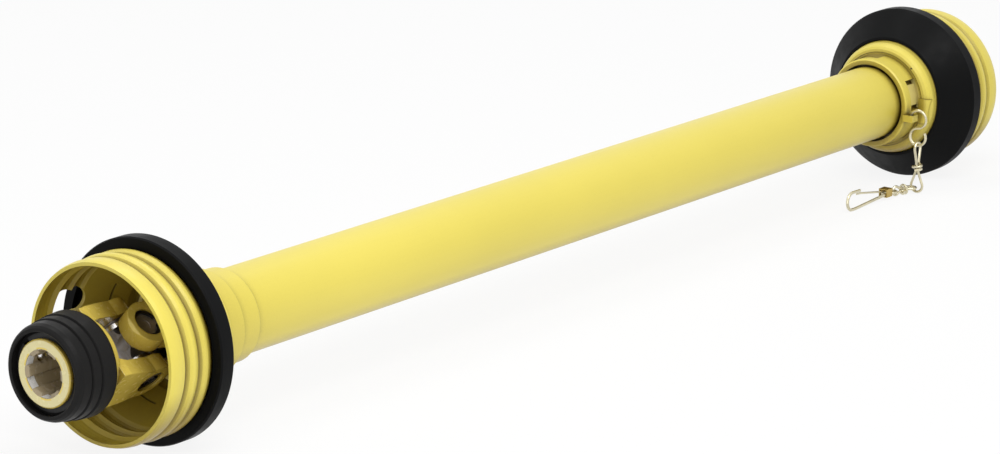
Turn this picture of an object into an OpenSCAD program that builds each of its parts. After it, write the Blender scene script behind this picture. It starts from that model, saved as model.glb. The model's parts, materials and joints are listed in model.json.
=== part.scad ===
// Telescopic PTO drive shaft with universal joints, guard tubes and guard cones.
// X runs along the shaft. The origin is on the shaft axis, in the ball plane of
// the near splined hub. Each end is drawn in an end frame whose X starts at the
// hub face and points into the shaft, and the far end is its mirror image.

/* [Shaft] */
// Distance between the ball planes of the two hubs, telescoped shut
lock_length = 1205; // [1150:5:1300]
// Distance from a hub face to the ball plane
hub_overhang = 16; // [15:0.5:18]
// Distance from a hub face to the cross centre
joint_at = 85; // [83:0.5:95]
// Direction of the hub yoke's pins, turned up from +Y
yoke_angle = 44; // [40:1:48]

/* [Splined hub] */
// Outer radius of the hub
hub_r = 25; // [24:0.1:26]
// Major radius of the six splines
spline_major_r = 17.45; // [17:0.05:17.8]
// Minor radius between the splines
spline_minor_r = 14.95; // [14.5:0.05:15.2]
// Width of a spline groove
spline_w = 8.65; // [8:0.05:9]
// Direction of a spline groove, turned on from the yoke's pins
spline_turn = 42; // [39:1:45]
// Radius of a lock ball
ball_r = 5; // [4.6:0.1:5.2]
// How many lock balls a hub has
ball_count = 3; // [2:1:3]

/* [Lock collar] */
// Travel of the collar
collar_travel = 7; // [5:0.5:7.5]
// Outer radius of the collar's rear band
collar_r = 39; // [38:0.1:40]
// Length of the collar
collar_len = 36; // [34:0.5:37]
// Radial running clearance of the collar on the hub
collar_clear = 0.08; // [0.05:0.01:0.1]

/* [Push-pin hub] */
// Radius of the push pin
push_r = 6; // [5.5:0.1:6.2]
// Travel of the push pin
push_travel = 6; // [5:0.5:6]
// Outer radius of the boss round the pin
push_boss_r = 9.5; // [9:0.1:10]

/* [Universal joint] */
// Length across a pair of bearing cups
cross_span = 54.8; // [54.4:0.1:55.6]
// Outer diameter of a bearing cup
cup_d = 22; // [21:0.1:22.4]
// Radius of a cross trunnion
trunnion_r = 7.6; // [7:0.1:8.2]
// Radius of a yoke ear
ear_r = 17; // [16.2:0.1:17.4]
// Half the gap between a yoke's ears
ear_inner = 18.4; // [18:0.1:18.6]
// Distance from the cross centre to an ear's outer face
ear_outer = 31.5; // [31:0.1:32.5]

/* [Profile tubes] */
// Outer radius of the outer profile tube's round part
profile_r = 22.5; // [22:0.1:23]
// Wall of a profile tube
profile_wall = 3; // [2.5:0.1:3.2]
// Distance from the axis to the centre of a lobe
lobe_at = 18; // [17:0.1:18.3]
// Sliding clearance between the two profiles
profile_clear = 0.3; // [0.2:0.05:0.4]

/* [Guard tubes] */
// Outer radius of the outer guard tube
guard_r = 32.8; // [32:0.1:33.5]
// Wall of a guard tube
guard_wall = 2.4; // [2:0.1:2.6]
// Sliding clearance between the guard tubes
guard_clear = 0.6; // [0.4:0.05:0.8]
// How far the outer guard tube's end reaches into the far hub ring, telescoped shut
guard_entry = 3; // [1:0.5:6]

/* [Guard cone] */
// Distance from the hub face to the cone's rim
rim_at = 57.5; // [56:0.5:60]
// Radius of the cone's mouth
mouth_r = 64.8; // [63.5:0.1:65.5]
// Wall of the cone
cone_wall = 2.6; // [2:0.1:3]
// Height of the ribs round the mouth
rib_h = 3.8; // [2:0.1:4]
// Outer radius of the neck that holds the outer guard tube
neck_r = 36; // [35.5:0.1:37]
// Length of that neck behind the hub ring
neck_len = 22; // [15:1:30]
// How many catch windows the cone has
window_count = 4; // [3:1:4]

/* [Support ring] */
// How far the support ring, on which the shaft lies, stands out past the cone's mouth
ring_rise = 12.2; // [11.5:0.1:14]
// Width of the support ring's band
ring_w = 14; // [12:0.5:16]
// Wall of the support ring
ring_wall = 2.6; // [2:0.1:3]

/* [Chain] */
// Radius of the chain's wire
wire_r = 1.2; // [1:0.05:1.3]
// Centre-line radius of an eye of the S-hook
eye_r = 8; // [7.5:0.1:8.5]
// Length of the snap hook
snap_len = 80; // [70:1:90]
// Height of the snap hook's loop
snap_h = 18.4; // [16:0.1:18.6]

/* [Hidden] */
$fn = 96;
seat = 0.05;

// Fork of a yoke
ear_gap_r = ear_inner - 0.5;
fork_floor = 34.5;
fork_base = fork_floor + 7;
fork_half = 22;
hub_floor = 40;
arch_r = 10;
arch_step = 0.1;
shoulder_r = hub_r + 6;
hub_len = joint_at - hub_floor;
cup_r = cup_d / 2;
cup_end = cross_span / 2;
cup_start = ear_inner - 1.2;
cup_floor = 1.4;
clip_t = 1.6;
clip_gap = 0.1;
groove_depth = 1.2;
cross_body_r = 12.5;
cross_body_t = 17;
scallop_r = 8.5;
scallop_at = 20;
seal_start = ear_inner - 5.4;

// Lock collar and what it rides against
collar_front = -1.3;
stop_at = 4;
stop_t = 2;
web_front = stop_at + stop_t;
web_back = collar_front + collar_len - 12.7;
release_r = hub_r + 2.7;
release_end = hub_overhang + 2.2 - collar_travel;
skirt_r = shoulder_r + 1.5;
shoulder_at = web_back + 9 + collar_travel;
spring_wire = 1.1;
spring_r = hub_r + 3.2;
spring_turns = 4;
ball_seat = hub_r + collar_clear - 0.03 - ball_r;

// Push pin, which lies across the far hub with its axis along Z
push_at = spline_minor_r + 0.05 + push_r;
push_clear = 0.05;
button_r = push_r - 1.2;
waist_r = push_at - spline_major_r - 0.15;
waist_half = 9.3;
waist_top = waist_half + push_travel;
flange_top = waist_top + 2;
boss_top = flange_top + 4.7;
button_top = boss_top + push_travel + 1;
pin_foot = push_travel - waist_half - 10.7;
plug_top = pin_foot - push_travel - 5;
plug_t = 3.4;
plug_r = push_r + 1.4;
boss_foot = plug_top - plug_t;
pin_spring_wire = 0.65;
pin_spring_r = push_r - 1.5;

// Inner yoke and what it carries
inner_hub_r = 31;
inner_hub_len = 26.5;
pin_from_base = 11.5;
track_from_base = 18.5;
inner_base = joint_at + fork_floor;
inner_hub_end = inner_base + inner_hub_len;
pin_bore_len = 2 * inner_hub_r + 20;
pin_at = inner_base + pin_from_base;
pin_r = 5;
pin_wall = 1.6;
track_at = inner_base + track_from_base;
track_w = 5.6;
track_r = inner_hub_r - 3;
track_clear = 0.08;
tube_start = inner_base + 1.5;

// Lobed profile sizes, from the outer tube inwards
outer_lobe_r = 7;
female_r = profile_r - profile_wall;
female_lobe_r = outer_lobe_r - profile_wall;
male_r = female_r - profile_clear;
male_lobe_r = female_lobe_r - profile_clear;
male_bore_r = male_r - profile_wall;
profile_end_gap = 46;

// Guard cone stations, in the end frame
rib_first = 16.5;
rib_step = 13.5;
rib_zone = rib_first + 2 * rib_step;
rib_end = rim_at + rib_zone;
rib_end_r = mouth_r + cone_wall + 1.3;
wall_front = track_at + track_w + 0.4;
wall_back = wall_front + 3;
flank_end = wall_back - 11;
hub_ring_r = guard_r + 7.2;
hub_ring_end = wall_back + 21.5;
tube_room_r = guard_r + 2.4;
tube_room_at = wall_back + 6;
wall_mid_r = hub_ring_r + 2.4;
flank_end_r = wall_mid_r + 8.2;
window_w = 2.6;
side_window_w = 6;
window_at = hub_ring_r - 4.7;
window_reach = 13;
window_turn = 75;
far_bore_r = guard_r - guard_wall - guard_clear;
near_bore_r = guard_r;
neck_end = hub_ring_end + neck_len;
shaft_bore_r = inner_hub_r + 0.8;
outer_tube_at = wall_back + 3;
ring_r = mouth_r + ring_rise;
ring_front = rim_at + 42.5;
ring_back = ring_front + ring_w;
hub_face_span = lock_length + 2 * hub_overhang;

// Slots round the cone's flank
slot_w = 1.6;
slot_at = (rib_end + flank_end) / 2 + 3.3;
slot_r = flank_end_r + (rib_end_r - flank_end_r) * (flank_end - slot_at) / (flank_end - rib_end);

// Access hole in the cone's ribs
access_at = rim_at + 32;
access_angle = 20;
access_r = 11.5;
access_len = 7;

// Lug and chain, in the shaft's own frame
lug_x = lock_length + hub_overhang - hub_ring_end + 2.5;
lug_y = -hub_ring_r - 3.5;
lug_z = -8.4;
lug_w = 9;
lug_t = 6;
lug_hole_r = 3.3;
hook_y = lug_y - eye_r;
low_eye_z = lug_z - 2 * eye_r;
link_gap = 0.3;
link_top = low_eye_z - eye_r + 3 * wire_r + link_gap;
link_bottom = 0.9 - ring_r;
link_len = link_top - link_bottom;
link_half = 5.8;
strand = wire_r + 0.1;
coil_r = strand + 2 * wire_r + 0.15;
second_z = coil_r + wire_r + 0.1 - ring_r;
leg_y = hook_y + sqrt(pow(link_half, 2) - pow(link_bottom + wire_r + link_half - second_z, 2));
second_len = 29;
second_head = 4.6;
second_turn = -15;
snap_r = 1.4;
snap_eye_r = 4.6;
snap_eye_at = second_head - second_len + 2 * wire_r + snap_r + link_gap - snap_eye_r;
snap_x = lug_x + snap_eye_at * cos(second_turn);
snap_y = leg_y + snap_eye_at * sin(second_turn);
snap_floor = snap_r + 0.1 - ring_r;
snap_bend = snap_h / 2 - snap_r;
snap_tip_x = snap_x + snap_eye_r + snap_r - snap_len;
bend_x = snap_tip_x + snap_r + snap_bend;
ferrule_len = 9;
ferrule_wall = 0.8;
leg_half = 2;
gate_r = 0.9;
gate_z = second_z + snap_r + gate_r + 0.6;
gate_x = snap_x - snap_eye_r - ferrule_len + 1.2;

// Frames and small helpers

module near_end() {
    translate([-hub_overhang, 0, 0]) children();
}

module far_end() {
    translate([lock_length + hub_overhang, 0, 0]) mirror([1, 0, 0]) children();
}

module along_x() {
    rotate([0, 90, 0]) children();
}

// Revolves an outline of [radius, station] points about the shaft axis
module revolve(points) {
    along_x() rotate_extrude() polygon(points);
}

module rod(r, from, to) {
    translate([from, 0, 0]) along_x() cylinder(r = r, h = to - from);
}

module turned(angle) {
    rotate([angle, 0, 0]) children();
}

// Puts both ends of a pin line along Y, at the cross centre
module both_pins(angle) {
    translate([joint_at, 0, 0]) turned(angle) for (side = [0, 180]) turned(side) rotate([-90, 0, 0]) children();
}

// A tube swept along a path of points, with its ends closed
function unit(v) = v / norm(v);
function tangent(path, i) = unit(path[min(i + 1, len(path) - 1)] - path[max(i - 1, 0)]);
function across(t, v) = unit(v - (v * t) * t);
module sweep(path, r, first_side = [0, 1, 0], sides = 8) {
    count = len(path);
    frames = [for (i = 0, a = across(tangent(path, 0), first_side); i < count;
        i = i + 1, a = across(tangent(path, min(i, count - 1)), a)) a];
    rings = [for (i = [0 : count - 1]) let (a = frames[i], b = cross(a, tangent(path, i)))
        for (k = [0 : sides - 1]) path[i] + r * (cos(360 * k / sides) * a + sin(360 * k / sides) * b)];
    walls = [for (i = [0 : count - 2]) for (k = [0 : sides - 1]) let (n = (k + 1) % sides)
        [i * sides + k, i * sides + n, (i + 1) * sides + n, (i + 1) * sides + k]];
    first = [[for (k = [sides - 1 : -1 : 0]) k]];
    last = [[for (k = [0 : sides - 1]) (count - 1) * sides + k]];
    polyhedron(rings, concat(walls, first, last), convexity = 6);
}

// Hub yoke, its lock and its bearings

module fork(face_half) {
    intersection() {
        rotate([90, 0, 0]) linear_extrude(2 * ear_outer, center = true) union() {
            circle(r = ear_r);
            polygon([[-fork_base, -fork_half], [-fork_base, fork_half], [-fork_floor, fork_half],
                [-6, ear_r - 1], [-6, 1 - ear_r], [-fork_floor, -fork_half]]);
        }
        linear_extrude(2 * fork_half + 2, center = true) polygon([[-fork_base, -face_half],
            [-fork_base, face_half], [-fork_base + 3, face_half], [-ear_r, ear_outer], [ear_r - 2, ear_outer],
            [ear_r + 1, ear_outer - 3], [ear_r + 1, 3 - ear_outer], [ear_r - 2, -ear_outer],
            [-ear_r, -ear_outer], [-fork_base + 3, -face_half]]);
    }
}

// The space between a yoke's ears, down to a floor with rounded corners
module fork_gap(floor_at) {
    linear_extrude(4 * fork_half, center = true) union() {
        for (side = [-1, 1]) translate([arch_r - floor_at, side * (ear_gap_r - arch_r)]) circle(r = arch_r);
        translate([arch_step - floor_at, arch_r - ear_gap_r]) square([floor_at, 2 * (ear_gap_r - arch_r)]);
        translate([arch_r - floor_at, -ear_inner]) square([2 * ear_outer, 2 * ear_inner]);
    }
}

module ear_bores(angle) {
    both_pins(angle) {
        translate([0, 0, ear_inner - 2]) cylinder(r = cup_r + seat, h = ear_outer);
        translate([0, 0, cup_end + clip_gap - 0.05]) cylinder(r = cup_r + groove_depth + 0.1, h = clip_t + 0.1);
    }
}

module spline_bore(length) {
    translate([-1, 0, 0]) along_x() linear_extrude(length + 2) union() {
        circle(r = spline_minor_r);
        intersection() {
            circle(r = spline_major_r);
            for (k = [0 : 2]) rotate(yoke_angle + spline_turn + 60 * k) square([spline_w, 3 * spline_major_r], center = true);
        }
    }
    revolve([[0, -1], [spline_major_r + 1.4, -1], [spline_major_r + 0.4, 0], [spline_major_r - 1.1, 1.5], [0, 1.5]]);
}

module ball_places() {
    for (k = [0 : ball_count - 1]) turned(yoke_angle + spline_turn + 60 + 360 * k / ball_count)
        translate([hub_overhang, 0, 0]) children();
}

module quick_yoke() {
    color("gold") difference() {
        union() {
            revolve([[0, 0], [hub_r - 1.2, 0], [hub_r, 1.2], [hub_r, shoulder_at], [shoulder_r - 1, shoulder_at],
                [shoulder_r, shoulder_at + 1], [shoulder_r, hub_len - 0.5],
                [shoulder_r - 10, hub_len + 4.5], [0, hub_len + 4.5]]);
            translate([joint_at, 0, 0]) turned(yoke_angle) fork(shoulder_r - 1);
        }
        translate([joint_at, 0, 0]) turned(yoke_angle) fork_gap(hub_floor);
        spline_bore(hub_len + 16);
        ear_bores(yoke_angle);
        ball_places() rotate([-90, 0, 0]) cylinder(r = ball_r + seat, h = hub_r + 2);
        revolve([[hub_r - 0.9, stop_at - seat], [hub_r + 1, stop_at - seat],
            [hub_r + 1, stop_at + stop_t + seat], [hub_r - 0.9, stop_at + stop_t + seat]]);
    }
}

module lock_balls() {
    color("silver") ball_places() translate([0, ball_seat, 0]) sphere(r = ball_r, $fn = 48);
}

module lock_stop() {
    color("silver") difference() {
        revolve([[hub_r - 0.8, stop_at], [hub_r + 3.6, stop_at], [hub_r + 3.6, stop_at + stop_t],
            [hub_r - 0.8, stop_at + stop_t]]);
        turned(yoke_angle) translate([0, hub_r - 3, -3]) cube([10, 10, 6]);
    }
}

module lock_collar() {
    bore = hub_r + collar_clear;
    back = collar_front + collar_len;
    color("dimgray") revolve([[bore, release_end + 2.4], [release_r, release_end], [release_r, web_front + seat],
        [skirt_r - 1.6, web_front + seat], [skirt_r - 1.6, 1.5], [skirt_r - 2.3, collar_front + 0.6],
        [skirt_r - 1.4, collar_front], [skirt_r + 0.4, collar_front + 0.3], [collar_r - 4.6, collar_front + 1.9],
        [collar_r - 3.4, collar_front + 5], [collar_r - 2.8, 10.2], [collar_r - 3.5, 10.8], [collar_r - 3.5, 11.6],
        [collar_r - 1.9, 12.2], [collar_r - 1.5, 18.8], [collar_r - 2.2, 19.4], [collar_r - 2.2, 20.2],
        [collar_r - 0.6, 20.8], [collar_r, back - 3], [collar_r - 0.8, back - 0.8], [collar_r - 2, back],
        [skirt_r + 1, back], [skirt_r, back - 2], [skirt_r, web_back], [bore, web_back]]);
}

module lock_spring() {
    steps = 16 * spring_turns;
    low = web_back + spring_wire + 0.2;
    high = shoulder_at - spring_wire - 0.2;
    color("silver") sweep([for (i = [0 : steps]) let (a = 360 * spring_turns * i / steps)
        [low + (high - low) * i / steps, spring_r * cos(a), spring_r * sin(a)]], spring_wire, [1, 0, 0], 6);
}

// Hub yoke of the far end, held on its shaft by a sprung pin across the bore

module push_line() {
    translate([hub_overhang, push_at, 0]) children();
}

module push_rod(r, from, to) {
    push_line() translate([0, 0, from]) cylinder(r = r, h = to - from);
}

module pin_yoke() {
    color("gold") difference() {
        union() {
            revolve([[0, 0], [hub_r - 1.2, 0], [hub_r, 1.2], [hub_r, shoulder_at - 5], [shoulder_r, shoulder_at + 1],
                [shoulder_r, hub_len - 0.5], [shoulder_r - 10, hub_len + 4.5], [0, hub_len + 4.5]]);
            translate([joint_at, 0, 0]) turned(yoke_angle) fork(shoulder_r - 1);
            push_rod(push_boss_r, boss_foot, boss_top);
        }
        translate([joint_at, 0, 0]) turned(yoke_angle) fork_gap(hub_floor);
        spline_bore(hub_len + 16);
        ear_bores(yoke_angle);
        push_rod(push_r + push_clear, plug_top - 1, flange_top + 0.1);
        push_rod(button_r + push_clear, flange_top, boss_top + 1);
        push_rod(plug_r + seat, boss_foot - 1, plug_top + seat);
    }
}

module push_pin() {
    color("silver") push_line() rotate_extrude() polygon([[0, pin_foot], [push_r - 0.6, pin_foot],
        [push_r, pin_foot + 0.6], [push_r, push_travel - waist_half], [waist_r, push_travel - waist_half + 1.2],
        [waist_r, waist_top - 0.6], [push_r, waist_top], [push_r, flange_top], [button_r, flange_top],
        [button_r, button_top - 1], [button_r - 1, button_top], [0, button_top]]);
}

module pin_spring() {
    turns = 4;
    low = plug_top + pin_spring_wire + 0.2;
    high = pin_foot - pin_spring_wire - 0.2;
    color("silver") push_line() sweep([for (i = [0 : 12 * turns]) let (a = 30 * i)
        [pin_spring_r * cos(a), pin_spring_r * sin(a), low + (high - low) * i / (12 * turns)]],
        pin_spring_wire, [0, 0, 1], 6);
}

module pin_plug() {
    color("silver") push_line() difference() {
        translate([0, 0, boss_foot]) cylinder(r = plug_r, h = plug_t);
        translate([-plug_r, -0.8, boss_foot - 1]) cube([2 * plug_r, 1.6, 2]);
    }
}

// Bearings of a cross, in one yoke

module cups(angle) {
    color("slategray") both_pins(angle) difference() {
        translate([0, 0, cup_start]) cylinder(r = cup_r, h = cup_end - cup_start);
        translate([0, 0, cup_start - 1]) cylinder(r = trunnion_r + seat, h = cup_end - cup_start - cup_floor + 1);
        translate([0, 0, cup_end - 0.5]) cylinder(r = 4, h = 1);
    }
}

module circlips(angle) {
    color("dimgray") both_pins(angle) difference() {
        translate([0, 0, cup_end + clip_gap]) cylinder(r = cup_r + groove_depth, h = clip_t);
        translate([0, 0, cup_end]) cylinder(r = cup_r - 2.2, h = 2 * clip_t + 1);
        translate([0, -2.5, cup_end]) cube([cup_r + 4, 5, 2 * clip_t + 1]);
    }
}

module joint_cross() {
    color("gray") translate([joint_at, 0, 0]) turned(yoke_angle) difference() {
        union() {
            for (a = [0, 90]) turned(a) {
                rotate([90, 0, 0]) cylinder(r = trunnion_r, h = 2 * (cup_end - cup_floor - 0.2), center = true);
                rotate([90, 0, 0]) cylinder(r = trunnion_r + 2.4, h = 2 * (seal_start - 0.1), center = true);
            }
            along_x() cylinder(r = cross_body_r, h = cross_body_t, center = true);
        }
        for (k = [0 : 3]) turned(45 + 90 * k) translate([0, scallop_at, 0]) along_x()
            cylinder(r = scallop_r, h = cross_span, center = true);
    }
}

module cross_seals() {
    color("silver") for (angle = [yoke_angle, yoke_angle + 90]) both_pins(angle) difference() {
        union() {
            translate([0, 0, seal_start]) cylinder(r = cup_r + 0.5, h = 3.2);
            translate([0, 0, seal_start + 3]) cylinder(r = cup_r - 0.8, h = cup_start - seal_start - 3.3);
        }
        cylinder(r = trunnion_r + seat, h = 2 * ear_inner);
    }
}

module grease_nipple() {
    color("silver") translate([joint_at - 6.4, 0, 0]) turned(yoke_angle + 225) rotate([-90, 0, 0]) {
        translate([0, 0, 12.1]) cylinder(r = 3, h = 2.2, $fn = 6);
        translate([0, 0, 14]) cylinder(r = 1.7, h = 3.4);
        translate([0, 0, 17.9]) sphere(r = 2.1, $fn = 32);
    }
}

// Tube yoke, roll pin and profile tubes

module lobed(r, lobe_r) {
    union() {
        circle(r = r);
        for (side = [-1, 1]) translate([0, side * lobe_at]) circle(r = lobe_r);
    }
}

module profile_at(from, to) {
    turned(yoke_angle) translate([from, 0, 0]) along_x() linear_extrude(to - from) children();
}

module pin_line() {
    translate([pin_at, 0, 0]) turned(yoke_angle + 90) rotate([-90, 0, 0]) children();
}

module tube_yoke(socket_r, socket_lobe_r) {
    color("gold") difference() {
        union() {
            revolve([[0, inner_base], [fork_half, inner_base], [inner_hub_r - 1, joint_at + fork_base + 0.5],
                [inner_hub_r, joint_at + fork_base + 1.5], [inner_hub_r, track_at], [track_r, track_at],
                [track_r, track_at + track_w], [inner_hub_r - 0.6, track_at + track_w],
                [inner_hub_r - 0.6, inner_hub_end - 1], [inner_hub_r - 1.6, inner_hub_end], [0, inner_hub_end]]);
            translate([joint_at, 0, 0]) mirror([1, 0, 0]) turned(yoke_angle + 90) fork(inner_hub_r - 1);
        }
        translate([joint_at, 0, 0]) mirror([1, 0, 0]) turned(yoke_angle + 90) fork_gap(fork_floor);
        profile_at(tube_start, inner_hub_end + 1) lobed(socket_r + seat, socket_lobe_r + seat);
        rod(male_bore_r, inner_base - 1, tube_start + 1);
        ear_bores(yoke_angle + 90);
        pin_line() cylinder(r = pin_r + seat, h = pin_bore_len, center = true);
    }
}

module roll_pin() {
    color("silver") pin_line() difference() {
        cylinder(r = pin_r, h = 2 * inner_hub_r - 2, center = true);
        cylinder(r = pin_r - pin_wall, h = pin_bore_len, center = true);
        translate([0, -0.6, -pin_bore_len / 2]) cube([20, 1.2, pin_bore_len]);
    }
}

module inner_profile_tube() {
    far_stop = hub_face_span - inner_base - profile_end_gap;
    color("lightsteelblue") near_end() difference() {
        profile_at(tube_start, far_stop) difference() {
            lobed(male_r, male_lobe_r);
            circle(r = male_bore_r);
        }
        pin_line() cylinder(r = pin_r + seat, h = pin_bore_len, center = true);
    }
}

module outer_profile_tube() {
    near_stop = hub_face_span - inner_base - profile_end_gap;
    color("steelblue") far_end() difference() {
        profile_at(tube_start, near_stop) difference() {
            lobed(profile_r, outer_lobe_r);
            lobed(female_r, female_lobe_r);
        }
        pin_line() cylinder(r = pin_r + seat, h = pin_bore_len, center = true);
    }
}

// Guard cone: ribbed mouth, flank, back wall and hub ring

function rib_wave(u) = u < rim_at + rib_first ? sin(180 * (u - rim_at) / rib_first)
    : abs(sin(180 * (u - rim_at - rib_first) / rib_step));
function cone_r(u) = mouth_r + cone_wall + (rib_end_r - mouth_r - cone_wall - rib_h / 2) * (u - rim_at) / rib_zone
    + (u < rim_at + rib_first ? 0.4 : 1) * rib_h * pow(rib_wave(u), 0.7)
    - (u < rim_at + rib_first ? 0 : rib_h * 0.35);
rib_stations = [for (s = [0 : 4]) rim_at + 0.2 * rib_first * s, rim_at + rib_first,
    for (k = [0, 1]) for (s = [1 : 6]) rim_at + rib_first + rib_step * (k + s / 6)];
dome_steps = 5;
function reversed(list) = [for (i = [len(list) - 1 : -1 : 0]) list[i]];
function dome(r_in, r_out, depth) = [for (i = [0 : dome_steps]) let (a = 90 * i / dome_steps)
    [r_in + (r_out - r_in) * cos(a), flank_end + depth * sin(a)]];
seam_r = hub_ring_r + 2.6;
dome_outer = dome(seam_r + 0.6, flank_end_r, wall_back - flank_end);
dome_inner = reversed(dome(wall_mid_r + 0.6, flank_end_r - cone_wall - 0.8, wall_front - flank_end));

module cone_shell(bore_r, bore_at, open_w) {
    ribs_out = [for (u = rib_stations) [cone_r(u), u]];
    ribs_in = reversed([for (u = rib_stations) [cone_r(u) - cone_wall, u]]);
    difference() {
        revolve(concat(ribs_out, dome_outer,
            [[seam_r + 0.6, wall_back - 0.6], [seam_r, wall_back - 0.6], [seam_r, wall_back],
            [hub_ring_r + 0.4, wall_back], [hub_ring_r, hub_ring_end - 1.2],
            [hub_ring_r - 1.2, hub_ring_end], [bore_r, hub_ring_end], [bore_r, bore_at],
            [shaft_bore_r, bore_at], [shaft_bore_r, wall_front]],
            dome_inner, ribs_in));
        for (k = [0 : window_count - 1]) turned(window_turn + 360 * k / window_count) catch_window(40, open_w);
        for (k = [0 : 3]) turned(yoke_angle - 22 + 90 * k) flank_slot(28);
        turned(access_angle) translate([access_at, 0, 0]) rotate([-90, 0, 0]) {
            translate([-access_len / 2, 0, 0]) cylinder(r = access_r, h = 2 * mouth_r);
            translate([access_len / 2, 0, 0]) cylinder(r = access_r, h = 2 * mouth_r);
        }
    }
}

// A ring sector cut through the back wall, and at the far end out through the hub ring's side
module catch_window(degrees, open_w) {
    translate([wall_front - 3, 0, 0]) along_x() rotate([0, 0, 90 - degrees / 2])
        rotate_extrude(angle = degrees) translate([window_at, 0])
        square([open_w, wall_back - wall_front + 3 + window_reach]);
}

// A narrow slot round the flank, under the support ring
module flank_slot(degrees) {
    depth = 2 * cone_wall + 3.8;
    translate([slot_at, 0, 0]) along_x() rotate([0, 0, 90 - degrees / 2])
        rotate_extrude(angle = degrees) translate([slot_r + 2.3 - depth, 0]) square([depth, slot_w]);
}

module near_guard_cone() {
    color("yellow") near_end() union() {
        cone_shell(near_bore_r + seat, outer_tube_at, window_w);
        revolve([[near_bore_r + seat, hub_ring_end - 1], [neck_r, hub_ring_end - 1], [neck_r, neck_end - 2],
            [neck_r - 1.6, neck_end], [near_bore_r + seat, neck_end]]);
    }
}

module far_guard_cone() {
    color("yellow") difference() {
        union() {
            far_end() cone_shell(far_bore_r + seat, wall_back - 0.4, side_window_w);
            far_end() turned(187) raised_tab();
            lug_body();
        }
        far_end() rod(tube_room_r, tube_room_at, hub_ring_end + 1);
        translate([lug_x, lug_y, lug_z]) cylinder(r = lug_hole_r, h = 3 * lug_t, center = true);
        far_end() turned(134) translate([wall_back - 8, seam_r + 1.8, 0]) along_x() cylinder(r = 0.9, h = 20);
    }
}

// A raised pad on the back of the cone, under the chain's lug
module raised_tab() {
    intersection() {
        translate([flank_end + 2, hub_ring_r - 1, -11]) cube([wall_back - flank_end - 1.2, 10, 22]);
        revolve(concat(dome(wall_mid_r + 1.6, flank_end_r - 1.6, wall_back - flank_end - 1.4),
            [[hub_ring_r - 0.5, wall_back - 1.4], [hub_ring_r - 0.5, wall_back + 0.8]],
            reversed(dome(wall_mid_r + 3.2, flank_end_r + 0.8, wall_back - flank_end + 0.8))));
    }
}

module lug_body() {
    root = hub_ring_r - 2.3;
    translate([lug_x - lug_w / 2, lug_y - lug_w / 2, lug_z - lug_t / 2]) cube([lug_w, lug_w / 2 - lug_y - root, lug_t]);
}

module support_ring() {
    gap = 0.25;
    slope = (rib_end_r - flank_end_r) / (flank_end - rib_end);
    inner_back = flank_end - 1.5;
    inner_back_r = flank_end_r + slope * (flank_end - inner_back) + gap * 1.4;
    seat_u = ring_back - 3;
    lip_r = cone_r(ring_front - 1) + 0.5;
    seat_r = flank_end_r + slope * (flank_end - seat_u) + gap * 1.4;
    color("dimgray") revolve([[ring_r - 1, ring_front], [ring_r, ring_front + 1.2], [ring_r, ring_back - 1.5],
        [ring_r - 1.2, ring_back], [inner_back_r + ring_wall, inner_back], [inner_back_r + 0.4, inner_back + 0.6],
        [inner_back_r, inner_back], [seat_r, seat_u], [ring_r - ring_wall - 0.6, seat_u - 1.5],
        [ring_r - ring_wall, seat_u - 4], [ring_r - ring_wall, ring_front + 1.6],
        [lip_r, ring_front + 1.6], [lip_r, ring_front]]);
}

// Ring that runs in the tube yoke's track and holds the cone by its catches
module bearing_ring() {
    flange_at = wall_front - 2.6;
    color("khaki") difference() {
        union() {
            revolve([[track_r + track_clear, track_at + 0.2], [inner_hub_r + 4, track_at + 0.2],
                [inner_hub_r + 4, flange_at], [wall_mid_r - 0.4, flange_at], [wall_mid_r - 0.4, wall_front - 0.2],
                [inner_hub_r + 0.4, wall_front - 0.2], [inner_hub_r + 0.4, track_at + track_w - 0.2],
                [track_r + track_clear, track_at + track_w - 0.2]]);
            for (k = [0 : window_count - 1]) turned(window_turn + 360 * k / window_count) catch();
        }
        for (k = [0 : 3]) turned(yoke_angle + 65 + 90 * k) for (s = [-1, 1])
            turned(9 * s) translate([flange_at - 1, inner_hub_r + 5.4, -2.5]) cube([10, 3, 5]);
    }
}

module catch() {
    reach = wall_back - wall_front + window_reach;
    translate([wall_front - 2.4, 0, 0]) along_x() rotate([0, 0, 90 - 14.5])
        rotate_extrude(angle = 29) translate([window_at + 0.3, 0]) square([1.6, reach]);
}

module outer_guard_tube() {
    end_at = hub_face_span - hub_ring_end + guard_entry;
    color("yellow") near_end() difference() {
        rod(guard_r, outer_tube_at, end_at);
        rod(guard_r - guard_wall, outer_tube_at - 1, end_at + 1);
    }
}

module inner_guard_tube() {
    near_stop = hub_face_span - outer_tube_at - 40;
    color("khaki") far_end() difference() {
        rod(far_bore_r, wall_back - 0.3, near_stop);
        rod(far_bore_r - guard_wall, wall_back - 1, near_stop + 1);
    }
}

// Chain pieces, where they lie

module s_hook() {
    top = [for (i = [0 : 18]) let (a = 300 * i / 18 - 30) [lug_x, hook_y + eye_r * cos(a), lug_z + eye_r * sin(a)]];
    low = [for (i = [1 : 18]) let (a = 90 - 300 * i / 18) [lug_x, hook_y + eye_r * cos(a), low_eye_z + eye_r * sin(a)]];
    color("silver") sweep(concat(top, low), wire_r, [1, 0, 0], 10);
}

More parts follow.
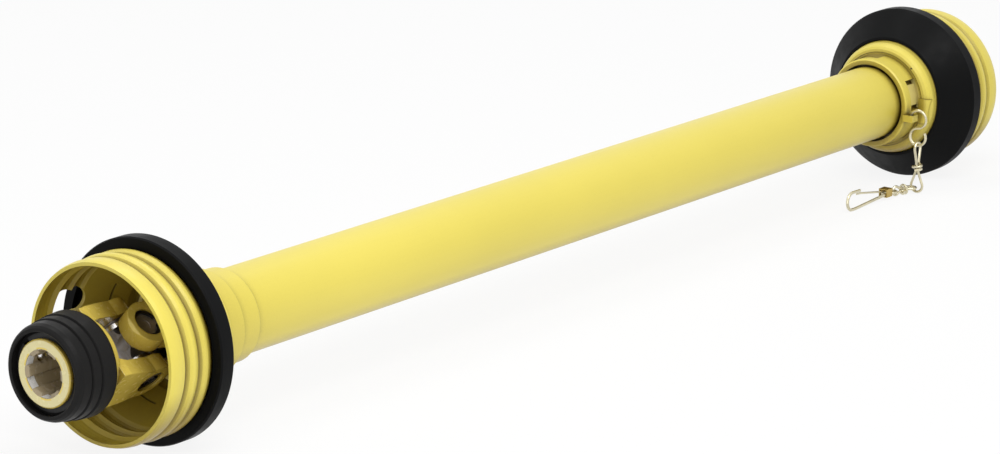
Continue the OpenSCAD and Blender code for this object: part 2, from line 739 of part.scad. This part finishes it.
// Wire of a knotted link: a coil round the waist, an eye above it in the XZ
// plane, a quarter twist through the waist and an eye below it in the YZ plane
function arch(h, half) = [for (i = [0 : 11]) let (a = 210 * i / 11 - 15) [half * cos(a), h - half + half * sin(a)]];
function knot_path(up_h, up_half, low_h, low_half) = concat(
    [for (i = [0 : 15]) let (a = 36 * i - 540) [coil_r * cos(a), coil_r * sin(a), 4.4 * i / 15 - 2.2]],
    [[2.4, 0, 4.6]],
    [for (p = arch(up_h, up_half)) [p[0], 0, p[1]]],
    [[-strand, 0, 4.4], [-strand, 0, 2.8]],
    [for (i = [1 : 4]) let (a = 180 + 90 * i / 5) [strand * cos(a), strand * sin(a), 2.8 - 5.6 * i / 5]],
    [[0, -strand, -2.8], [0, -strand, -4.4]],
    [for (i = [11 : -1 : 0]) let (p = arch(low_h, low_half)[i]) [0, p[0], -p[1]]],
    [[0, strand, -4.4], [0, strand, -3]]);

module chain_link_1() {
    color("silver") translate([lug_x, hook_y, (link_top + link_bottom) / 2])
        sweep(knot_path(link_len / 2 - wire_r, 4.8, link_len / 2 - wire_r, link_half), wire_r);
}

module chain_link_2() {
    color("silver") translate([lug_x, leg_y, second_z]) rotate([0, 0, second_turn])
        translate([second_head - second_len / 2, 0, 0]) rotate([0, 90, 0]) rotate([0, 0, 90])
        sweep(knot_path(second_len / 2 - wire_r, 4.8, second_len / 2 - wire_r, coil_r), wire_r);
}

// Snap hook: a bent end, a straight back down to the ferrule, and a flat eye
module snap_hook() {
    top_z = snap_floor + 2 * snap_bend;
    end = [for (i = [0 : 2]) [bend_x + 12 - 6 * i, snap_y, top_z - 0.4 + 0.2 * i]];
    bend = [for (i = [1 : 11]) let (a = 90 + 15 * i) [bend_x + snap_bend * cos(a), snap_y,
        snap_floor + snap_bend + snap_bend * sin(a)]];
    back = [[bend_x + 4, snap_y, snap_floor], [snap_x - snap_eye_r - ferrule_len - 9, snap_y, second_z - 1.4],
        [snap_x - snap_eye_r - ferrule_len - 2.5, snap_y - leg_half, second_z],
        [snap_x - snap_eye_r - 0.8, snap_y - leg_half, second_z]];
    eye = [for (i = [0 : 12]) let (a = 25 * i - 150) [snap_x + snap_eye_r * cos(a),
        snap_y + snap_eye_r * sin(a), second_z]];
    tail = [[snap_x - snap_eye_r - 0.8, snap_y + leg_half, second_z],
        [snap_x - snap_eye_r - ferrule_len + 1, snap_y + leg_half, second_z]];
    color("silver") sweep(concat(end, bend, back, eye, tail), snap_r, [0, 1, 0]);
}

// Folded clip that holds the hook's tail and the gate's root
module snap_ferrule() {
    cavity_w = 2 * (leg_half + snap_r + 0.1);
    cavity_low = second_z - snap_r - 0.1;
    cavity_h = gate_z + gate_r + 0.5 - cavity_low;
    color("peru") translate([snap_x - snap_eye_r - ferrule_len - 0.5, snap_y, cavity_low]) difference() {
        translate([0, -cavity_w / 2 - ferrule_wall, -ferrule_wall])
            cube([ferrule_len, cavity_w + 2 * ferrule_wall, cavity_h + 2 * ferrule_wall]);
        translate([-1, -cavity_w / 2, 0]) cube([ferrule_len + 2, cavity_w, cavity_h]);
    }
}

module snap_gate() {
    rest_z = snap_floor + 2 * snap_bend - snap_r - gate_r - link_gap;
    color("silver") sweep([[gate_x + 1, snap_y, gate_z], [gate_x - 2.5, snap_y, gate_z],
        [bend_x + 14, snap_y, rest_z - 0.6], [bend_x + 7, snap_y, rest_z]], gate_r, [0, 1, 0]);
}

near_end() quick_yoke();  // near_quick_yoke
near_end() lock_collar();  // near_lock_collar
near_end() lock_spring();  // near_lock_spring
near_end() lock_stop();  // near_lock_stop
near_end() lock_balls();  // near_lock_balls
near_end() cups(yoke_angle);  // near_hub_cups
near_end() circlips(yoke_angle);  // near_hub_circlips
near_end() joint_cross();  // near_cross
near_end() cross_seals();  // near_cross_seals
near_end() grease_nipple();  // near_grease_nipple
near_end() cups(yoke_angle + 90);  // near_tube_cups
near_end() circlips(yoke_angle + 90);  // near_tube_circlips
near_end() tube_yoke(male_r, male_lobe_r);  // near_tube_yoke
near_end() roll_pin();  // near_roll_pin
inner_profile_tube();
near_guard_cone();
near_end() support_ring();  // near_support_ring
near_end() bearing_ring();  // near_bearing_ring
outer_guard_tube();
far_end() pin_yoke();  // far_pin_yoke
far_end() push_pin();  // far_push_pin
far_end() pin_spring();  // far_pin_spring
far_end() pin_plug();  // far_pin_plug
far_end() cups(yoke_angle);  // far_hub_cups
far_end() circlips(yoke_angle);  // far_hub_circlips
far_end() joint_cross();  // far_cross
far_end() cross_seals();  // far_cross_seals
far_end() grease_nipple();  // far_grease_nipple
far_end() cups(yoke_angle + 90);  // far_tube_cups
far_end() circlips(yoke_angle + 90);  // far_tube_circlips
far_end() tube_yoke(profile_r, outer_lobe_r);  // far_tube_yoke
far_end() roll_pin();  // far_roll_pin
outer_profile_tube();
far_guard_cone();
far_end() support_ring();  // far_support_ring
far_end() bearing_ring();  // far_bearing_ring
inner_guard_tube();
s_hook();
chain_link_1();
chain_link_2();
snap_hook();
snap_ferrule();
snap_gate();
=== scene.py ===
"""Looks of the PTO drive shaft: camera, light, floor, materials and springs, in metres."""
import json
import math

import bpy
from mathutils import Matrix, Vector


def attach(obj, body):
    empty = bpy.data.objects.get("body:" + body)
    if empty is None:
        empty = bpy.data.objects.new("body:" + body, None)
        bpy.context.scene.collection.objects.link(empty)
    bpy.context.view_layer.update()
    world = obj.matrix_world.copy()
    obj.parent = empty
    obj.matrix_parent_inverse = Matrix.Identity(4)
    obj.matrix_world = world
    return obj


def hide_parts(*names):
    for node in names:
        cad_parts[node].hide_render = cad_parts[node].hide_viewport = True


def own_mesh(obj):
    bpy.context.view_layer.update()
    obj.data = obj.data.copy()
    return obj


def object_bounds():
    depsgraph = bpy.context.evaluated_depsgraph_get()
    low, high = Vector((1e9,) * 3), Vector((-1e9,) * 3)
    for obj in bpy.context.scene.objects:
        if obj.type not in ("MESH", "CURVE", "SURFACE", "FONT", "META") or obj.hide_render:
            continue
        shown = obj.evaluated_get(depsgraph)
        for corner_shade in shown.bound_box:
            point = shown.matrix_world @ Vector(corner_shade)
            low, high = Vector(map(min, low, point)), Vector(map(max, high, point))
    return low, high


# Camera, fitted to the circles in the photograph
CAMERA_AT = (-1.9494, -1.8743, 0.8011)
CAMERA_YAW = math.radians(37.347)
CAMERA_PITCH = math.radians(14.578)
CAMERA_LENS = 144.57
SENSOR_WIDTH = 36.0
CLIP_NEAR = 0.05
CLIP_FAR = 60

# Lamp, its place, what it aims at, both from the middle of the object, width, height and power
LAMPS_ROUND_MIDDLE = (
    ("key", (-0.9, -1.3, 2.3), 1.6, 1.6, 42),
    ("top", (0.2, 0.7, 2.2), 2.4, 1.0, 15),
)
# The front lamp is placed in the shared frame and lights the near end
FRONT_LAMP = ("front", (-2.2, -0.9, 0.5), (0, 0, 0), 1.0, 1.0, 10)

# Light of the world on the object, and how bright it and the floor show
SOFT_LIGHT = 0.42
SHOWN_WHITE = 1.0
FLOOR_HALF = 8.0
FLOOR_GLOW = 0.88

# Colours, linear
GUARD_YELLOW = (0.81, 0.68, 0.11)
PAINT_YELLOW = (0.78, 0.60, 0.115)
RING_BLACK = (0.0046, 0.0048, 0.0050)
COLLAR_BLACK = (0.0125, 0.0122, 0.0120)
BARE_STEEL = (0.36, 0.29, 0.18)
# Painted light: a paler yellow for the near hub's front face
FACE_LIT_YELLOW = (0.74, 0.66, 0.33)
# Painted highlight on the bare steel of the groove ends by the near hub's face
HIGHLIGHT_STEEL = (0.86, 0.85, 0.83)
CROSS_STEEL = (0.36, 0.34, 0.33)
SEAL_STEEL = (0.80, 0.79, 0.77)
CUP_STEEL = (0.34, 0.31, 0.29)
CIRCLIP_BLACK = (0.010, 0.010, 0.010)
SPRING_STEEL = (0.36, 0.36, 0.37)
BEARING_STEEL = (0.75, 0.75, 0.76)
TUBE_STEEL = (0.40, 0.40, 0.41)
ZINC_STEEL = (0.66, 0.61, 0.44)
FERRULE_BRASS = (0.50, 0.36, 0.11)
NYLON = (0.74, 0.62, 0.20)
# Painted shade: the colours that corners, grooves and slots darken towards
GUARD_SHADE = (0.30, 0.205, 0.018)
PAINT_SHADE = (0.36, 0.23, 0.020)
GROOVE_SHADE = (0.10, 0.07, 0.03)
FLOOR_WHITE = (0.92, 0.92, 0.92)

# How far a surface wanders from its plain gloss, and its grain
GLOSS_LOW = 0.85
GLOSS_HIGH = 1.2
RUBS_PER_MOTTLE = 7
GRAIN_STRENGTH = 0.5
COAT_ROUGH = 0.12
EDGE_SAMPLES = 6

# Where the yokes' bore is bare, from the shaft axis and along the shaft, with a painted highlight
# on the groove ends by the near hub's face and paler painted light on the hub's face
BORE_R = 0.01785
GROOVE_R = 0.0171
HIGHLIGHT_FROM = -0.0152
HIGHLIGHT_TO = -0.0085
FACE_AT = -0.0157
PAINT_COAT = 0.4
HIGHLIGHT_METAL = 0.15

# Spring, its body, the joint that presses it, the line it is pressed along,
# its fixed end, its room at rest and the joint's travel
SPRINGS = (
    ("near_lock_spring", "near_hub", "near_collar_slide", (1, 0, 0), (0.022, 0, 0), 0.016, 0.007),
    ("far_pin_spring", "far_hub", "far_pin_push", (0, 0, 1), (1.205, 0, -0.025), 0.011, 0.006),
)

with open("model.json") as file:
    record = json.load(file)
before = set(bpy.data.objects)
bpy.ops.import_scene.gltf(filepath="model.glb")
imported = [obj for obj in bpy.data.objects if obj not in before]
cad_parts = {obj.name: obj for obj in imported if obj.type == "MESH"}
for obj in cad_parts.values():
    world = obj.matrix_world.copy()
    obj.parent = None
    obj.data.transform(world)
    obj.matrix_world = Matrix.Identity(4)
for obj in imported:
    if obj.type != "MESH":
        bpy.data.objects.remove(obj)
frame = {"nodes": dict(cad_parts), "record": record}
cad_low, cad_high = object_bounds()
nodes = frame["nodes"]


# Camera, lamps and floor

def make_camera():
    data = bpy.data.cameras.new("camera")
    data.lens = CAMERA_LENS
    data.sensor_width = SENSOR_WIDTH
    data.sensor_fit = "HORIZONTAL"
    data.clip_start = CLIP_NEAR
    data.clip_end = CLIP_FAR
    camera = bpy.data.objects.new("camera", data)
    camera.location = CAMERA_AT
    camera.rotation_euler = (math.pi / 2 - CAMERA_PITCH, 0, CAMERA_YAW - math.pi / 2)
    bpy.context.scene.collection.objects.link(camera)
    bpy.context.scene.camera = camera


def make_lamp(name, place, aim, width, height, power):
    data = bpy.data.lights.new(name, "AREA")
    data.shape = "RECTANGLE"
    data.size = width
    data.size_y = height
    data.energy = power
    lamp = bpy.data.objects.new(name, data)
    lamp.location = place
    lamp.rotation_euler = (Vector(aim) - Vector(place)).to_track_quat("-Z", "Y").to_euler()
    bpy.context.scene.collection.objects.link(lamp)


def make_lamps():
    middle = (cad_low + cad_high) / 2
    for name, place, width, height, power in LAMPS_ROUND_MIDDLE:
        make_lamp(name, middle + Vector(place), middle, width, height, power)
    make_lamp(*FRONT_LAMP)


def shown_straight(tree):
    """1 where a camera, glossy or transmission ray meets the surface."""
    path = tree.nodes.new("ShaderNodeLightPath")
    either = tree.nodes.new("ShaderNodeMath")
    either.operation = "MAXIMUM"
    tree.links.new(path.outputs["Is Camera Ray"], either.inputs[0])
    tree.links.new(path.outputs["Is Glossy Ray"], either.inputs[1])
    last = tree.nodes.new("ShaderNodeMath")
    last.operation = "MAXIMUM"
    tree.links.new(either.outputs[0], last.inputs[0])
    tree.links.new(path.outputs["Is Transmission Ray"], last.inputs[1])
    return last.outputs[0]


def make_world():
    world = bpy.data.worlds.new("world")
    bpy.context.scene.world = world
    world.use_nodes = True
    tree = world.node_tree
    tree.nodes.clear()
    soft = tree.nodes.new("ShaderNodeBackground")
    soft.inputs["Color"].default_value = (1, 1, 1, 1)
    soft.inputs["Strength"].default_value = SOFT_LIGHT
    white = tree.nodes.new("ShaderNodeBackground")
    white.inputs["Color"].default_value = (1, 1, 1, 1)
    white.inputs["Strength"].default_value = SHOWN_WHITE
    mix = tree.nodes.new("ShaderNodeMixShader")
    out = tree.nodes.new("ShaderNodeOutputWorld")
    tree.links.new(shown_straight(tree), mix.inputs[0])
    tree.links.new(soft.outputs[0], mix.inputs[1])
    tree.links.new(white.outputs[0], mix.inputs[2])
    tree.links.new(mix.outputs[0], out.inputs["Surface"])


def make_floor():
    z = cad_low.z
    mesh = bpy.data.meshes.new("floor")
    signs = ((-1, -1), (1, -1), (1, 1), (-1, 1))
    corners = [(FLOOR_HALF * a, FLOOR_HALF * b, z) for a, b in signs]
    mesh.from_pydata(corners, [], [(0, 1, 2, 3)])
    floor = bpy.data.objects.new("floor", mesh)
    bpy.context.scene.collection.objects.link(floor)
    material = bpy.data.materials.new("floor_white")
    material.use_nodes = True
    tree = material.node_tree
    tree.nodes.clear()
    diffuse = tree.nodes.new("ShaderNodeBsdfDiffuse")
    diffuse.inputs["Color"].default_value = (*FLOOR_WHITE, 1)
    glow = tree.nodes.new("ShaderNodeEmission")
    glow.inputs["Color"].default_value = (1, 1, 1, 1)
    glow.inputs["Strength"].default_value = SHOWN_WHITE
    share = tree.nodes.new("ShaderNodeMath")
    share.operation = "MULTIPLY"
    share.inputs[1].default_value = FLOOR_GLOW
    mix = tree.nodes.new("ShaderNodeMixShader")
    out = tree.nodes.new("ShaderNodeOutputMaterial")
    tree.links.new(shown_straight(tree), share.inputs[0])
    tree.links.new(share.outputs[0], mix.inputs[0])
    tree.links.new(diffuse.outputs[0], mix.inputs[1])
    tree.links.new(glow.outputs[0], mix.inputs[2])
    tree.links.new(mix.outputs[0], out.inputs["Surface"])
    mesh.materials.append(material)


# Materials

def noise(tree, where, scale, detail=3.0, stretch=(1, 1, 1)):
    mapping = tree.nodes.new("ShaderNodeMapping")
    mapping.inputs["Scale"].default_value = stretch
    tree.links.new(where, mapping.inputs["Vector"])
    texture = tree.nodes.new("ShaderNodeTexNoise")
    texture.inputs["Scale"].default_value = scale
    texture.inputs["Detail"].default_value = detail
    tree.links.new(mapping.outputs[0], texture.inputs["Vector"])
    return texture.outputs["Fac"]


def spread(tree, value, low, high, from_low=0.3, from_high=0.7):
    """Maps a noise value onto the range low to high."""
    node = tree.nodes.new("ShaderNodeMapRange")
    node.inputs["From Min"].default_value = from_low
    node.inputs["From Max"].default_value = from_high
    node.inputs["To Min"].default_value = low
    node.inputs["To Max"].default_value = high
    tree.links.new(value, node.inputs["Value"])
    return node.outputs["Result"]


def tint(tree, factor, dark, light):
    node = tree.nodes.new("ShaderNodeMix")
    node.data_type = "RGBA"
    node.inputs["A"].default_value = (*dark, 1)
    node.inputs["B"].default_value = (*light, 1)
    tree.links.new(factor, node.inputs["Factor"])
    return node.outputs["Result"]


def tinted(tree, first, second):
    """Two colours multiplied."""
    node = tree.nodes.new("ShaderNodeMix")
    node.data_type = "RGBA"
    node.blend_type = "MULTIPLY"
    node.inputs["Factor"].default_value = 1.0
    tree.links.new(first, node.inputs["A"])
    tree.links.new(second, node.inputs["B"])
    return node.outputs["Result"]


def shade(colour, factor):
    return tuple(min(1.0, c * factor) for c in colour)


def number(tree, operation, first, second, clamp=False):
    """A math node of two inputs, each a socket or a plain value."""
    node = tree.nodes.new("ShaderNodeMath")
    node.operation = operation
    node.use_clamp = clamp
    for socket, value in zip(node.inputs, (first, second)):
        if isinstance(value, (int, float)):
            socket.default_value = value
        else:
            tree.links.new(value, socket)
    return node.outputs[0]


def in_corners(tree, reach, power):
    """0 deep in a corner or groove, 1 in the open."""
    node = tree.nodes.new("ShaderNodeAmbientOcclusion")
    node.samples = EDGE_SAMPLES
    node.inputs["Distance"].default_value = reach
    return number(tree, "POWER", node.outputs["AO"], power)


def make_material(name, colour, rough, metallic=0.0, vary=0.06, mottle=9.0,
                  grain=700.0, grain_depth=0.00002, stretch=(1, 1, 1),
                  coat=0.0, specular=0.5, corner_shade=None, rounding=0.0):
    """A surface whose colour, gloss and grain wander a little, from noise in the object's space,
    with painted shade in its corners and grooves where corner settings are given.
    """
    material = bpy.data.materials.new(name)
    material.use_nodes = True
    tree = material.node_tree
    shader = tree.nodes["Principled BSDF"]
    where = tree.nodes.new("ShaderNodeTexCoord").outputs["Object"]
    patches = noise(tree, where, mottle, 4.0)
    colour_out = tint(tree, spread(tree, patches, 0, 1),
                      shade(colour, 1 - vary), shade(colour, 1 + vary))
    # Painted shade: ambient occlusion darkens the colour towards a shade colour in corners, and
    # darker still deep in grooves and slots
    if corner_shade:
        mix = tree.nodes.new("ShaderNodeMix")
        mix.data_type = "RGBA"
        mix.inputs["A"].default_value = (*corner_shade["colour"], 1)
        tree.links.new(colour_out, mix.inputs["B"])
        deep = in_corners(tree, corner_shade["reach"], corner_shade["power"])
        tree.links.new(deep, mix.inputs["Factor"])
        grooves = in_corners(tree, corner_shade["groove"], corner_shade["groove_power"])
        colour_out = tint(tree, grooves, GROOVE_SHADE, (1, 1, 1))
        colour_out = tinted(tree, mix.outputs["Result"], colour_out)
    tree.links.new(colour_out, shader.inputs["Base Color"])
    rubs = noise(tree, where, mottle * RUBS_PER_MOTTLE, 5.0, stretch)
    gloss = spread(tree, rubs, rough * GLOSS_LOW, rough * GLOSS_HIGH)
    tree.links.new(gloss, shader.inputs["Roughness"])
    bump = tree.nodes.new("ShaderNodeBump")
    bump.inputs["Strength"].default_value = GRAIN_STRENGTH
    bump.inputs["Distance"].default_value = grain_depth
    tree.links.new(noise(tree, where, grain, 3.0, stretch), bump.inputs["Height"])
    if rounding:
        bevel = tree.nodes.new("ShaderNodeBevel")
        bevel.samples = EDGE_SAMPLES
        bevel.inputs["Radius"].default_value = rounding
        tree.links.new(bevel.outputs["Normal"], bump.inputs["Normal"])
    tree.links.new(bump.outputs["Normal"], shader.inputs["Normal"])
    shader.inputs["Metallic"].default_value = metallic
    shader.inputs["Specular IOR Level"].default_value = specular
    if coat:
        shader.inputs["Coat Weight"].default_value = coat
        shader.inputs["Coat Roughness"].default_value = COAT_ROUGH
    return material


def bare_bore(material):
    """The splined bore is machined steel, with a painted highlight in the groove ends by the near
    hub's face, and the hub's face gets paler painted light.
    """
    tree = material.node_tree
    shader = tree.nodes["Principled BSDF"]
    split = tree.nodes.new("ShaderNodeSeparateXYZ")
    tree.links.new(tree.nodes.new("ShaderNodeTexCoord").outputs["Object"], split.inputs[0])
    x, y, z = split.outputs
    y_squared = number(tree, "MULTIPLY", y, y)
    z_squared = number(tree, "MULTIPLY", z, z)
    radius = number(tree, "SQRT", number(tree, "ADD", y_squared, z_squared), 0)
    in_bore = number(tree, "LESS_THAN", radius, BORE_R)
    past_splines = number(tree, "GREATER_THAN", radius, GROOVE_R)
    in_groove = number(tree, "MULTIPLY", in_bore, past_splines)
    before_end = number(tree, "LESS_THAN", x, HIGHLIGHT_TO)
    after_start = number(tree, "GREATER_THAN", x, HIGHLIGHT_FROM)
    by_face = number(tree, "MULTIPLY", before_end, after_start)
    # Painted highlight: the groove ends near the hub's face are coloured bright and a little
    # metallic
    highlight_mask = number(tree, "MULTIPLY", in_groove, by_face)
    # Painted light: the hub's front face takes the paler yellow
    lit_face = tree.nodes.new("ShaderNodeMix")
    lit_face.data_type = "RGBA"
    lit_face.inputs["B"].default_value = (*FACE_LIT_YELLOW, 1)
    tree.links.new(number(tree, "LESS_THAN", x, FACE_AT), lit_face.inputs["Factor"])
    tree.links.new(shader.inputs["Base Color"].links[0].from_socket, lit_face.inputs["A"])
    paint = lit_face.outputs["Result"]
    steel = tint(tree, highlight_mask, BARE_STEEL, HIGHLIGHT_STEEL)
    mix = tree.nodes.new("ShaderNodeMix")
    mix.data_type = "RGBA"
    tree.links.new(in_bore, mix.inputs["Factor"])
    tree.links.new(paint, mix.inputs["A"])
    tree.links.new(steel, mix.inputs["B"])
    tree.links.new(mix.outputs["Result"], shader.inputs["Base Color"])
    metal = number(tree, "MULTIPLY", highlight_mask, HIGHLIGHT_METAL)
    tree.links.new(metal, shader.inputs["Metallic"])
    painted = number(tree, "SUBTRACT", 1.0, in_bore)
    coat = number(tree, "MULTIPLY", painted, PAINT_COAT)
    tree.links.new(coat, shader.inputs["Coat Weight"])


def make_materials():
    along = (0.05, 1, 1)
    # Painted shade in the corners and grooves of the moulded guard and of the painted yokes
    moulded_shade = {"colour": GUARD_SHADE, "reach": 0.06, "power": 2.2,
               "groove": 0.008, "groove_power": 1.3}
    painted = {"colour": PAINT_SHADE, "reach": 0.03, "power": 1.4,
               "groove": 0.003, "groove_power": 0.6}
    settings = {
        "guard_yellow": dict(colour=GUARD_YELLOW, rough=0.36, vary=0.03, mottle=5, stretch=along,
                             grain=420, grain_depth=0.00005, corner_shade=moulded_shade),
        "yoke_paint": dict(colour=PAINT_YELLOW, rough=0.25, vary=0.03, mottle=30, grain=110,
                           grain_depth=0.00002, coat=PAINT_COAT, corner_shade=painted,
                           rounding=0.0016),
        "ring_black": dict(colour=RING_BLACK, rough=0.42, vary=0.15, mottle=12, grain=600,
                           grain_depth=0.00004, specular=0.06),
        "collar_black": dict(colour=COLLAR_BLACK, rough=0.42, vary=0.15, mottle=20, grain=900,
                             grain_depth=0.0001, specular=0.08),
        "bearing_nylon": dict(colour=NYLON, rough=0.45, vary=0.05, mottle=15),
        "cross_steel": dict(colour=CROSS_STEEL, rough=0.42, metallic=0.8, vary=0.25, mottle=60,
                            grain=500, grain_depth=0.0002),
        "seal_steel": dict(colour=SEAL_STEEL, rough=0.22, metallic=1.0, vary=0.06, mottle=60),
        "cup_steel": dict(colour=CUP_STEEL, rough=0.34, metallic=0.7, vary=0.3, mottle=90),
        "circlip_black": dict(colour=CIRCLIP_BLACK, rough=0.4, vary=0.2, mottle=50,
                              specular=0.3),
        "spring_steel": dict(colour=SPRING_STEEL, rough=0.34, metallic=1.0, vary=0.15,
                             mottle=60),
        "bearing_steel": dict(colour=BEARING_STEEL, rough=0.14, metallic=1.0, vary=0.04,
                              mottle=60),
        "tube_steel": dict(colour=TUBE_STEEL, rough=0.35, metallic=1.0, vary=0.12, mottle=14,
                           stretch=along),
        "zinc_steel": dict(colour=ZINC_STEEL, rough=0.30, metallic=0.9, vary=0.12, mottle=90,
                           grain=1500, grain_depth=0.00006),
        "ferrule_brass": dict(colour=FERRULE_BRASS, rough=0.34, metallic=1.0, vary=0.15,
                              mottle=90),
    }
    made = {name: make_material(name, **look) for name, look in settings.items()}
    bare_bore(made["yoke_paint"])
    return made


def dress_nodes(materials):
    for part in frame["record"]["subparts"]:
        mesh = nodes[part["node"]].data
        mesh.materials.clear()
        mesh.materials.append(materials[part["material_slot"]])


def make_springs():
    """Copies of the CAD springs, each attached to its body, with the CAD spring hidden."""
    for name, body, joint, axis, anchor, length, travel in SPRINGS:
        spring = bpy.data.objects.new(name + "_coil", nodes[name].data.copy())
        bpy.context.scene.collection.objects.link(spring)
        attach(spring, body)
        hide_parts(name)
        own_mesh(spring)


make_camera()
make_lamps()
make_world()
make_floor()
materials = make_materials()
dress_nodes(materials)
make_springs()

bpy.context.scene.view_settings.view_transform = "Standard"
